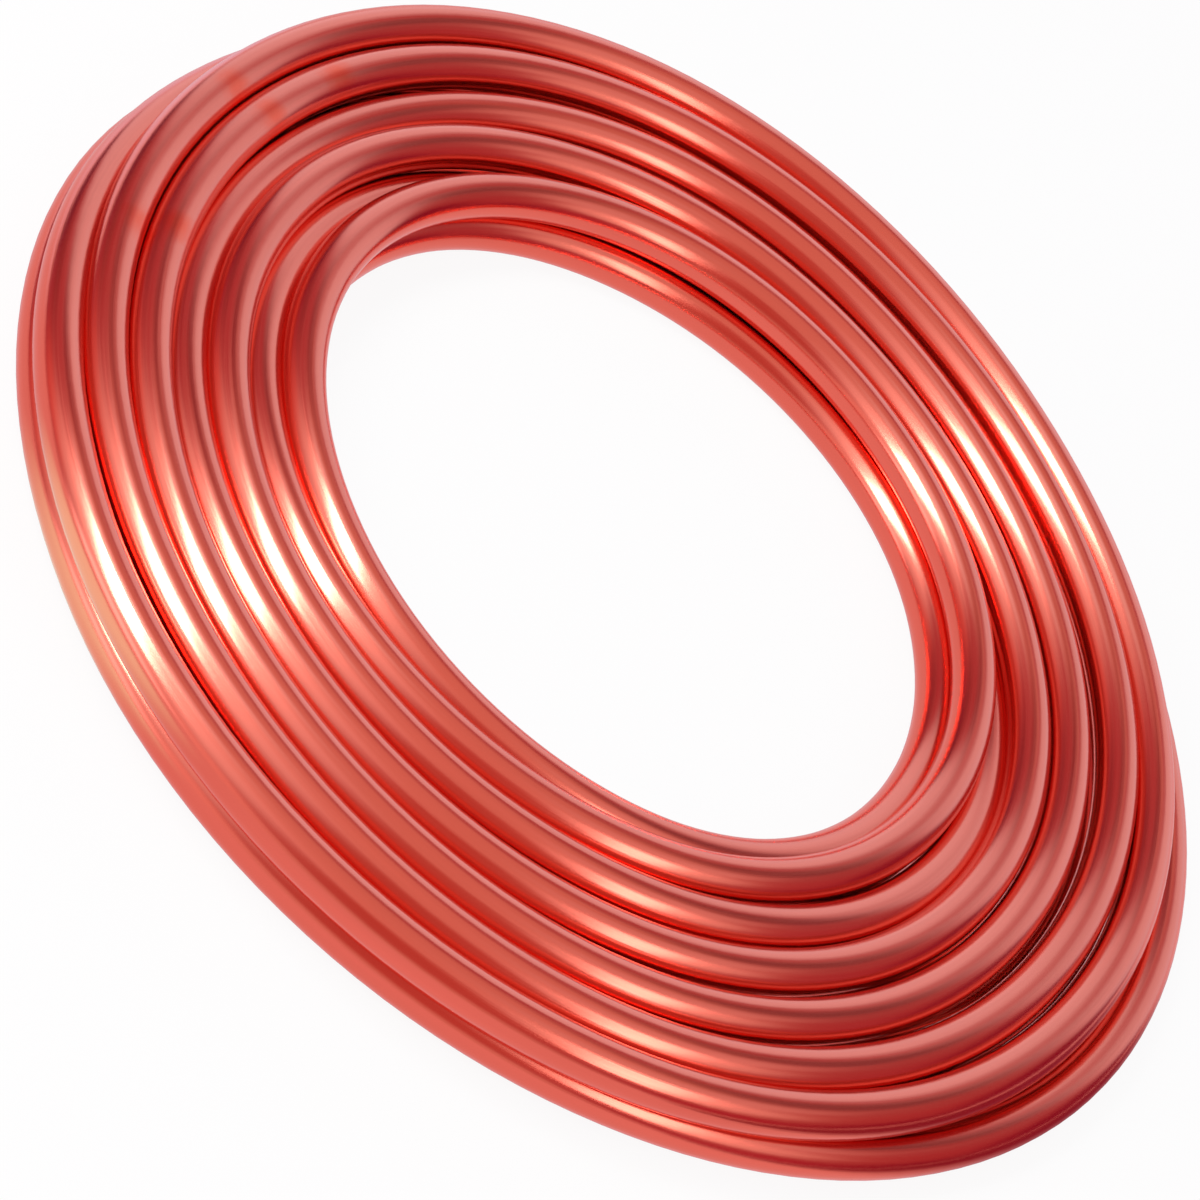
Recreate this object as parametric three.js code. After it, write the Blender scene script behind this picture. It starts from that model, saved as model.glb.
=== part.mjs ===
// Coil of soft copper tube, wound flat in two layers round an open bore.
// Millimetres, +Z up. The origin is on the bore's axis, in the plane that the coil lies on.
//
// The coil is one turned solid. Its section follows the outside of every turn, so the turns show
// as rounded crests on both ends, down the bore and round the outer wall. One layer is wound
// inwards and the other outwards, so an upper turn crosses the lower ones and can't sink between
// them: the upper layer stands a full tube diameter above the lower one. It has a turn fewer,
// which leaves the lower layer half a turn wider at the bore and at the outer wall.
import * as THREE from "three";

const TUBE_DIAMETER = 10;
const BORE_DIAMETER = 152;
const LOWER_TURNS = 7;
const UPPER_TURNS = 6;
const TURN_GAP = 0.1; // clearance between neighbouring turns of one layer
const GROOVE_ANGLE = 20; // degrees of each turn's outline lost beside a groove
const TUBE_FACETS = 12; // sides of a turn's outline, one of them level with the ground
const COIL_FACETS = 52; // straight stretches round the coil

const COPPER = { color: 0xdb7a66, roughness: 0.3, metalness: 1 };

const tubeRadius = TUBE_DIAMETER / 2;
const turnPitch = TUBE_DIAMETER + TURN_GAP;

// Centres of one layer's turns in the section, innermost first: x is the distance from the axis,
// y the height. Both layers have the same middle.
function layerCentres(turns, height) {
  const innermost = BORE_DIAMETER / 2 + tubeRadius + ((LOWER_TURNS - turns) * turnPitch) / 2;
  return [...Array(turns).keys()].map((turn) => {
    return new THREE.Vector2(innermost + turn * turnPitch, height);
  });
}

// Direction from one centre to another in degrees, 0 pointing away from the axis and 90 up.
function bearing(from, to) {
  return THREE.MathUtils.radToDeg(Math.atan2(to.y - from.y, to.x - from.x));
}

// Corners of one turn's faceted outline between two directions. Every facet touches the true
// circle at its middle, so the coil keeps its full height and bore.
function turnOutline(centre, from, to) {
  const step = 360 / TUBE_FACETS;
  const directions = [from];
  for (let corner = step * (Math.floor(from / step - 0.5) + 1.5); corner < to; corner += step) {
    directions.push(corner);
  }
  directions.push(to);
  return directions.map((direction) => {
    const offMiddle = direction - step * Math.round(direction / step);
    const reach = tubeRadius / Math.cos(THREE.MathUtils.degToRad(offMiddle));
    const angle = THREE.MathUtils.degToRad(direction);
    return new THREE.Vector2(Math.cos(angle), Math.sin(angle)).multiplyScalar(reach).add(centre);
  });
}

// The whole section, anticlockwise: outwards along the lower layer and back along the upper one.
// Each turn shows from the groove it shares with the turn before to the one it shares with the
// turn after.
function coilSection() {
  const lower = layerCentres(LOWER_TURNS, tubeRadius);
  const upper = layerCentres(UPPER_TURNS, tubeRadius + TUBE_DIAMETER);
  const round = [...lower, ...upper.reverse()];
  const section = round.flatMap((centre, i) => {
    const from = bearing(centre, round.at(i - 1)) + GROOVE_ANGLE;
    const to = bearing(centre, round[(i + 1) % round.length]) - GROOVE_ANGLE;
    return turnOutline(centre, from, to < from ? to + 360 : to);
  });
  return [...section, section[0].clone()];
}

function tubeCoil() {
  const geometry = new THREE.LatheGeometry(coilSection(), COIL_FACETS);
  geometry.rotateX(Math.PI / 2); // LatheGeometry turns its profile about Y
  const mesh = new THREE.Mesh(geometry, new THREE.MeshStandardMaterial(COPPER));
  mesh.name = "tube_coil";
  return mesh;
}

const coil = new THREE.Group();
coil.add(tubeCoil());

export default coil;
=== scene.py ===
import math
from itertools import accumulate

import bpy
from mathutils import Matrix, Vector


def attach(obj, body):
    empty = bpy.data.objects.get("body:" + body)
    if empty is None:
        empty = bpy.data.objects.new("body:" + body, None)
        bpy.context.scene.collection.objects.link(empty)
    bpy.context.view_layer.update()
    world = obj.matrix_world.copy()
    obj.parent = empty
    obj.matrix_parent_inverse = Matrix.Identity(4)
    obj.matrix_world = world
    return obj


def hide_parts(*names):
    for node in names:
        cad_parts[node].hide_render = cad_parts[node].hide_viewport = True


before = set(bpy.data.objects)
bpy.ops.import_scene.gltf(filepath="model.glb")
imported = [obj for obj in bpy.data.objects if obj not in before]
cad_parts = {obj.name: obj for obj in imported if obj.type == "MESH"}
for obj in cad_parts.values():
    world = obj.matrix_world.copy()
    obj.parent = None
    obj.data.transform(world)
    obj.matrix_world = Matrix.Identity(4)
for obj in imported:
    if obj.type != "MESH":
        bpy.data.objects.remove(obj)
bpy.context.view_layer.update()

MM = 0.001
scene = bpy.context.scene

# ---------------------------------------------------------------- camera

AIM = Vector((-1.9, -9.2, 0)) * MM
DISTANCE = 925 * MM
ELEVATION = math.radians(39.6)
FRAME_WIDTH = 252.6 * MM  # what the picture spans at the aim point
SENSOR = 36.0
NEAREST_SEEN = 0.01

across = Vector((1, 0, 0))
upward = Vector((0, math.sin(ELEVATION), math.cos(ELEVATION)))
backward = across.cross(upward)
# The picture is turned 45 degrees clockwise.
camera_x = (across + upward).normalized()
camera_y = (upward - across).normalized()

camera_data = bpy.data.cameras.new("camera")
camera_data.sensor_width = SENSOR
camera_data.lens = SENSOR * DISTANCE / FRAME_WIDTH
camera_data.clip_start = NEAREST_SEEN
camera = bpy.data.objects.new("camera", camera_data)
scene.collection.objects.link(camera)
turned = Matrix((camera_x, camera_y, backward)).transposed().to_4x4()
camera.matrix_world = Matrix.Translation(AIM + backward * DISTANCE) @ turned
scene.camera = camera

# ---------------------------------------------------------------- the winding

TUBE_RADIUS = 5.0
LOWER = TUBE_RADIUS  # height of a lower turn's centre
UPPER = 3 * TUBE_RADIUS
CENTRE = Vector((-1.9, 2.3, 0))  # of the winding, in the CAD frame
PITCH = 2 * TUBE_RADIUS

STEPS_PER_TURN = 144
SIDES = 28
BORE_RADIUS = TUBE_RADIUS - 0.7
EDGE = 0.2  # rounding of the cut ends
EDGE_DEPTH = 0.0005  # how far that rounding reaches along the tube, in turns
END_DEPTH = 0.06  # how far the open ends are hollow, in turns
TANGENT_STEP = 0.001  # in turns

# Turns are counted clockwise from the far side. The lower layer winds inwards to the bore, where
# the tube climbs; the upper layer winds outwards, and the last turn drops to the floor and runs
# once round the outside.
START = -3.9
END = 7.765

# Turn counts where each of these starts, and how many turns it takes.
CLIMB, CLIMB_TURNS = 0.1, 0.5
DROP, DROP_TURNS = 6.60, 0.20

# Halfway from the lower layer's radii to the upper layer's, and how many turns that takes.
TO_UPPER, TO_UPPER_TURNS = -0.27, 0.3

# Where an upper turn lies low: the middle of that stretch, how many turns it takes and how far
# down the tube lies there.
LOW_PLACES = (
    (1.97, 1.0, 9.0),  # the third turn, squeezed down on the far side
    (3.74, 0.4, 3.0),  # another on the left
)

# The lower layer's radius at its inner end, and how much less it is on the right, where the bore
# is narrowest. That difference fades from turn to turn outwards.
INNERMOST = 86.0
FLATTENED = 9.0
FLATTENED_FADE = 1.9
FLATTENED_TURNS = 0.8

# The lower turns before this count lie a tube further out, which leaves room for the upper turn
# that is squeezed down.
ASIDE, ASIDE_TURNS = -0.65, 0.25

# The upper layer lies unevenly. Radius of the centre line every sixth of a turn, each row
# running clockwise from the near left.
LAY_STEPS = 6
LAY_START = -5 / 12
LAY = (
    (88.0, 90.0, 85.5, 82.0, 75.2, 78.8),
    (85.5, 89.5, 88.0, 83.0, 80.4, 86.8),
    (95.0, 96.6, 93.0, 88.5, 89.8, 97.3),
    (104.4, 104.6, 99.6, 94.6, 98.2, 108.5),
    (114.3, 112.8, 113.0, 106.9, 108.4, 119.8),
    (123.1, 122.3, 127.2, 121.8, 120.3, 130.5),
    (133.1, 132.2, 139.0, 131.0, 131.0, 139.9),
    (144.3, 136.6, 140.0, 139.5, 142.3, 139.3),
    (141.5, 136.0, 108.0),
)
lay = [r for row in LAY for r in row]


def smooth(x):
    x = min(max(x, 0.0), 1.0)
    return x * x * (3 - 2 * x)


def bump(x, width):
    """1 at x = 0, falling smoothly to 0 at half the width on either side."""
    return 0.5 + 0.5 * math.cos(2 * math.pi * min(abs(x) / width, 0.5))


def upper_radius(t):
    """The curve through the radii of the lay."""
    x = (t - LAY_START) * LAY_STEPS
    i = math.floor(x)
    before, here, there, after = (lay[min(max(i + k, 0), len(lay) - 1)] for k in (-1, 0, 1, 2))
    x -= i
    slope = there - before
    bend = 2 * before - 5 * here + 4 * there - after
    twist = 3 * here - before - 3 * there + after
    return here + 0.5 * x * (slope + x * (bend + x * twist))


def lower_radius(t):
    from_right = (t + 0.25) % 1.0 - 0.5
    flattened = (FLATTENED + FLATTENED_FADE * t) * bump(from_right, FLATTENED_TURNS)
    aside = smooth((ASIDE - t) / ASIDE_TURNS)
    return INNERMOST - PITCH * (t - aside) - flattened


def radius(t):
    upper = smooth((t - TO_UPPER) / TO_UPPER_TURNS + 0.5)
    return (1 - upper) * lower_radius(t) + upper * upper_radius(t)


def height(t):
    raised = smooth((t - CLIMB) / CLIMB_TURNS) - smooth((t - DROP) / DROP_TURNS)
    z = LOWER + (UPPER - LOWER) * raised
    for middle, turns, depth in LOW_PLACES:
        z -= depth * bump(t - middle, turns)
    return z


def centre(t):
    """The middle of the tube at turn t, in millimetres."""
    angle = math.radians(90 + 360 * t)
    r = radius(t)
    return CENTRE + Vector((-r * math.cos(angle), r * math.sin(angle), height(t)))


def stations():
    """Rings that the tube's skin runs through, each a turn count and a radius: in from the bottom
    of one open end, over its cut edge, along the whole outside and into the other end."""
    mouth = [(END_DEPTH, BORE_RADIUS), (EDGE_DEPTH, BORE_RADIUS), (0, BORE_RADIUS + EDGE)]
    mouth += [(0, TUBE_RADIUS - EDGE), (EDGE_DEPTH, TUBE_RADIUS)]
    count = int((END - START) * STEPS_PER_TURN)
    skin = [(START + (END - START) * i / count, TUBE_RADIUS) for i in range(1, count)]
    first = [(START + t, ring) for t, ring in mouth]
    last = [(END - t, ring) for t, ring in reversed(mouth)]
    return first + skin + last


def ring_vertices(t, ring):
    """One ring, in metres. It is kept upright, so that the tube never twists."""
    middle = centre(t)
    tangent = (centre(t + TANGENT_STEP) - centre(t - TANGENT_STEP)).normalized()
    outward = Vector((0, 0, 1)).cross(tangent).normalized()
    rise = tangent.cross(outward)
    vertices = []
    for k in range(SIDES):
        a = 2 * math.pi * k / SIDES
        vertices.append((middle + (outward * math.cos(a) + rise * math.sin(a)) * ring) * MM)
    return vertices


def lay_out_uv(mesh, rings):
    """U is the distance along the tube in metres, V the share of the way round it."""
    middles = [centre(t) for t, _ in rings]
    gaps = [(there - here).length * MM for here, there in zip(middles, middles[1:])]
    along = list(accumulate(gaps, initial=0.0))
    uv = mesh.uv_layers.new(name="tube")
    for face in mesh.polygons:
        row, k = divmod(face.index, SIDES)
        corners = ((row, k), (row, k + 1), (row + 1, k + 1), (row + 1, k))
        for loop, (r, c) in zip(face.loop_indices, corners):
            uv.data[loop].uv = (along[r], c / SIDES)


def sweep(rings, name):
    """A tube whose skin runs through the rings."""
    vertices = [vertex for t, ring in rings for vertex in ring_vertices(t, ring)]
    faces = []
    for i in range(len(rings) - 1):
        for k in range(SIDES):
            j = (k + 1) % SIDES
            faces.append((i * SIDES + k, i * SIDES + j, (i + 1) * SIDES + j, (i + 1) * SIDES + k))
    mesh = bpy.data.meshes.new(name)
    mesh.from_pydata(vertices, [], faces)
    lay_out_uv(mesh, rings)
    mesh.polygons.foreach_set("use_smooth", [True] * len(mesh.polygons))
    return mesh


coil = bpy.data.objects.new("tube", sweep(stations(), "tube"))
scene.collection.objects.link(coil)

# ---------------------------------------------------------------- copper

COPPER = (0.95, 0.21, 0.145)
ROUGHNESS = (0.13, 0.29)
TONES = (0.9, 1.06)
DRAWN_DEPTH = 0.04 * MM  # of the lines left by drawing

# Handled spots on the upper turns: angle clockwise from the left and distance from the middle of
# the winding.
SMUDGES = ((336, 129.5), (0, 130.3), (1, 120.8), (338, 122.4), (13, 122.6))
SMUDGE_SIZE = 3.2
SMUDGED = (0.99, 0.125, 0.065)
SMUDGE_STRENGTH = 0.9


def add(tree, kind, inputs, **settings):
    """A shader node with its settings. Each input is a value or another node's output."""
    node = tree.nodes.new("ShaderNode" + kind)
    for name, value in settings.items():
        setattr(node, name, value)
    for name, value in inputs.items():
        if isinstance(value, bpy.types.NodeSocket):
            tree.links.new(value, node.inputs[name])
        else:
            node.inputs[name].default_value = value
    return node


def math_node(tree, operation, a, b=0.0):
    return add(tree, "Math", {0: a, 1: b}, operation=operation).outputs[0]


def mix_colours(tree, share, base, over):
    # The Mix node names each of its inputs once for every data type.
    inputs = {0: share, 6: base, 7: over}
    return add(tree, "Mix", inputs, data_type="RGBA").outputs[2]


def nearness(tree, here, middle, near, far):
    """1 within the near distance of the middle, easing to 0 at the far one."""
    away = add(tree, "VectorMath", {0: here, 1: middle}, operation="DISTANCE")
    inside = add(tree, "MapRange", {
        "Value": away.outputs["Value"],
        "From Min": far,
        "From Max": near,
    }, interpolation_type="SMOOTHSTEP")
    return inside.outputs["Result"]


def in_range(tree, value, limits):
    low, high = limits
    spread = add(tree, "MapRange", {"Value": value, "To Min": low, "To Max": high})
    return spread.outputs["Result"]


def tube_grain(tree, round_scale, length_scale, detail):
    """Noise drawn out along the tube. It has no seam round it."""
    place = add(tree, "SeparateXYZ", {0: add(tree, "UVMap", {}, uv_map="tube").outputs["UV"]})
    turn = math_node(tree, "MULTIPLY", place.outputs["Y"], 2 * math.pi)
    round_it = add(tree, "CombineXYZ", {
        "X": math_node(tree, "MULTIPLY", math_node(tree, "COSINE", turn), round_scale),
        "Y": math_node(tree, "MULTIPLY", math_node(tree, "SINE", turn), round_scale),
        "Z": math_node(tree, "MULTIPLY", place.outputs["X"], length_scale),
    })
    noise = add(tree, "TexNoise", {"Vector": round_it.outputs[0], "Scale": 1.0, "Detail": detail})
    return noise.outputs["Fac"]


def smudge_mask(tree):
    """1 in the middle of a smudge, fading unevenly to 0 at its edge."""
    here = add(tree, "TexCoord", {}).outputs["Object"]
    ragged = add(tree, "TexNoise", {"Vector": here, "Scale": 260.0, "Detail": 3.0}).outputs["Fac"]
    plan = add(tree, "VectorMath", {0: here, 1: (1, 1, 0)}, operation="MULTIPLY").outputs[0]
    mask = 0.0
    for angle, distance in SMUDGES:
        a = math.radians(angle)
        spot = CENTRE + Vector((-distance * math.cos(a), distance * math.sin(a), 0))
        reach = math_node(tree, "MULTIPLY", ragged, 2 * SMUDGE_SIZE * MM)
        near = math_node(tree, "MULTIPLY", reach, 0.2)
        far = math_node(tree, "ADD", reach, SMUDGE_SIZE * MM)
        mask = math_node(tree, "MAXIMUM", nearness(tree, plan, spot * MM, near, far), mask)
    return mask


def copper_material():
    material = bpy.data.materials.new("copper")
    material.use_nodes = True
    tree = material.node_tree
    shader = tree.nodes["Principled BSDF"]
    shader.inputs["Metallic"].default_value = 1.0

    lines = tube_grain(tree, round_scale=22.0, length_scale=18.0, detail=4.0)
    dull = in_range(tree, lines, ROUGHNESS)
    tree.links.new(dull, shader.inputs["Roughness"])

    drawn = add(tree, "Bump", {"Height": lines, "Strength": 0.25, "Distance": DRAWN_DEPTH})
    tree.links.new(drawn.outputs["Normal"], shader.inputs["Normal"])

    clouds = tube_grain(tree, round_scale=1.2, length_scale=14.0, detail=2.0)
    tone = in_range(tree, clouds, TONES)
    toned = add(tree, "VectorMath", {0: COPPER, "Scale": tone}, operation="SCALE").outputs[0]
    spots = math_node(tree, "MULTIPLY", smudge_mask(tree), SMUDGE_STRENGTH)
    colour = mix_colours(tree, spots, toned, (*SMUDGED, 1))
    tree.links.new(colour, shader.inputs["Base Color"])
    return material


coil.data.materials.append(copper_material())

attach(coil, "root")
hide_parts("tube_coil")

# ---------------------------------------------------------------- studio

LAMP_DISTANCE = 1.1
WHITE = (1, 1, 1, 1)

# What the copper reflects beside the lamps: soft patches laid one over the other on dark walls.
# Each is an azimuth (0 at the right, 90 at the far side) and an elevation, both in degrees, how
# far it reaches from there, how soft its edge is, and its colour.
WALLS = (0.40, 0.09, 0.13)
PATCHES = (
    (285, -30, 48, 8, (0.70, 0.55, 0.52)),  # the lit room behind the camera
    (292, 40, 30, 10, (0.50, 0.15, 0.14)),
    (185, 18, 14, 8, (0.66, 0.20, 0.20)),
    (45, 40, 17, 9, (0.38, 0.13, 0.17)),
    (130, 88, 35, 6, (0.67, 0.48, 0.45)),  # the ceiling
    (218, 42, 32, 12, (0.82, 0.88, 0.95)),  # glow about the left lamp
    (160, 67, 12, 7, (0.95, 1.40, 1.60)),
    (248, 10, 14, 8, (0.86, 0.66, 0.66)),
    (342, 42, 20, 5, (0.80, 0.78, 0.80)),  # glow about the right lamp
    (16, 59, 14, 6, (0.74, 0.70, 0.74)),
    (222, 0, 17, 6, (1.90, 2.20, 2.40)),  # the bright wall under the left lamp
    (102, 51, 7, 5, (0.66, 0.52, 0.52)),
    (60, 47, 11, 4, (0.22, 0.10, 0.14)),
    (118, 44, 9, 5, (0.24, 0.05, 0.08)),
    (152, 20, 10, 8, (0.27, 0.07, 0.10)),
    (345, 2, 14, 8, (0.40, 0.04, 0.10)),  # the darkest corners
    (8, 0, 13, 5, (0.26, 0.01, 0.06)),
    (40, 0, 20, 6, (0.24, 0.01, 0.06)),
    (155, -8, 20, 8, (0.34, 0.05, 0.11)),
    (143, 0, 13, 4, (0.16, 0.02, 0.07)),
    (75, 14, 25, 2, (0.76, 0.94, 1.12)),  # the pale screen at the far side
    (91, 12, 26, 2, (0.76, 0.94, 1.12)),
    (107, 12, 26, 2, (0.80, 1.02, 1.22)),
    (119, 4, 9, 5, (0.90, 1.15, 1.35)),
)

HALF_FLOOR = 3.0
FLOOR_PAINT = (0.75, 0.75, 0.75, 1)
FLOOR_ROUGHNESS = 0.35
PLAIN_WHITE = 0.92  # how much of the floor that the camera sees is plain white

# What the copper reflects of the floor: an even pale glow with spots of painted light and painted
# shadow on it.
# Each spot is a place in millimetres, a reach, a softness and a colour.
FLOOR = (0.80, 0.62, 0.66)
PAINTED_FLOOR_LIGHT_AND_SHADOW = (
    # A painted shadow of the coil, dark red, on the floor to its right.
    (300, -50, 165, 20, (0.25, 0.03, 0.07)),
    # A painted pool of pale bluish light on the floor to the left.
    (-250, 40, 95, 20, (0.88, 0.95, 1.20)),
    # A painted pool of bright light on the floor under the left lamp.
    (-100, -155, 42, 20, (1.00, 1.80, 1.55)),  # under the left lamp
)


def direction(azimuth, elevation):
    turn, tilt = math.radians(azimuth), math.radians(elevation)
    level = math.cos(tilt)
    return Vector((math.cos(turn) * level, math.sin(turn) * level, math.sin(tilt)))


def lamp(name, foot, head, width, radiance):
    """A long soft light between two directions, facing the coil."""
    low, high = (direction(*end) * LAMP_DISTANCE for end in (foot, head))
    data = bpy.data.lights.new(name, "AREA")
    data.shape = "RECTANGLE"
    data.size = width
    data.size_y = (high - low).length
    data.energy = radiance * math.pi * data.size * data.size_y
    light = bpy.data.objects.new(name, data)
    y = (high - low).normalized()
    z = (low + high).normalized()
    light.matrix_world = Matrix((y.cross(z), y, z)).transposed().to_4x4()
    light.location = (low + high) / 2
    scene.collection.objects.link(light)


def soft_patches(tree, here, base, patches):
    """A colour that turns into each patch's own within its near distance of its middle, and that
    it leaves alone beyond its far distance."""
    colour = (*base, 1)
    for middle, near, far, tint in patches:
        inside = nearness(tree, here, middle, near, far)
        colour = mix_colours(tree, inside, colour, (*tint, 1))
    return colour


def surroundings():
    world = bpy.data.worlds.new("studio")
    scene.world = world
    world.use_nodes = True
    tree = world.node_tree
    looking = add(tree, "TexCoord", {}).outputs["Generated"]
    patches = []
    for azimuth, elevation, reach, softness, tint in PATCHES:
        near, far = (2 * math.sin(math.radians(reach + s) / 2) for s in (-softness, softness))
        patches.append((direction(azimuth, elevation), near, far, tint))
    # The camera itself sees plain white past the floor's edge.
    camera_ray = add(tree, "LightPath", {}).outputs["Is Camera Ray"]
    colour = mix_colours(tree, camera_ray, soft_patches(tree, looking, WALLS, patches), WHITE)
    tree.links.new(colour, tree.nodes["Background"].inputs["Color"])


def white_floor():
    corners = [(HALF_FLOOR * x, HALF_FLOOR * y, 0) for x, y in ((-1, -1), (1, -1), (1, 1), (-1, 1))]
    mesh = bpy.data.meshes.new("floor")
    mesh.from_pydata(corners, [], [(0, 1, 2, 3)])
    floor = bpy.data.objects.new("floor", mesh)
    scene.collection.objects.link(floor)
    material = bpy.data.materials.new("white_floor")
    material.use_nodes = True
    tree = material.node_tree
    surface = tree.nodes["Principled BSDF"]
    surface.inputs["Base Color"].default_value = FLOOR_PAINT
    surface.inputs["Roughness"].default_value = FLOOR_ROUGHNESS
    # Plain white is most of what the camera sees of the floor; the rest is lit, and holds the
    # shadow. For reflected rays the floor glows with the painted light and painted shadow spots,
    # which the copper reflects.
    path = add(tree, "LightPath", {})
    reflected = math_node(tree, "MAXIMUM", path.outputs["Is Glossy Ray"],
                          path.outputs["Is Transmission Ray"])
    here = add(tree, "TexCoord", {}).outputs["Object"]
    spots = []
    for x, y, reach, softness, tint in PAINTED_FLOOR_LIGHT_AND_SHADOW:
        near, far = (reach - softness) * MM, (reach + softness) * MM
        spots.append((Vector((x, y, 0)) * MM, near, far, tint))
    # Reflected rays see the even glow with the painted light and shadow spots; other rays see
    # white.
    shade = mix_colours(tree, reflected, WHITE, soft_patches(tree, here, FLOOR, spots))
    glow = add(tree, "Emission", {"Color": shade})
    seen = math_node(tree, "MULTIPLY", path.outputs["Is Camera Ray"], PLAIN_WHITE)
    mix = add(tree, "MixShader", {
        0: math_node(tree, "MAXIMUM", reflected, seen),
        1: surface.outputs["BSDF"],
        2: glow.outputs["Emission"],
    })
    tree.links.new(mix.outputs["Shader"], tree.nodes["Material Output"].inputs["Surface"])
    mesh.materials.append(material)


surroundings()
white_floor()
lamp("left_lamp", foot=(226, 29), head=(184, 63), width=0.21, radiance=14.0)
lamp("right_lamp", foot=(323, 23), head=(346, 54), width=0.22, radiance=3.0)

scene.cycles.glossy_bounces = 3  # leaves the depths of the grooves dark
scene.view_settings.view_transform = "Standard"
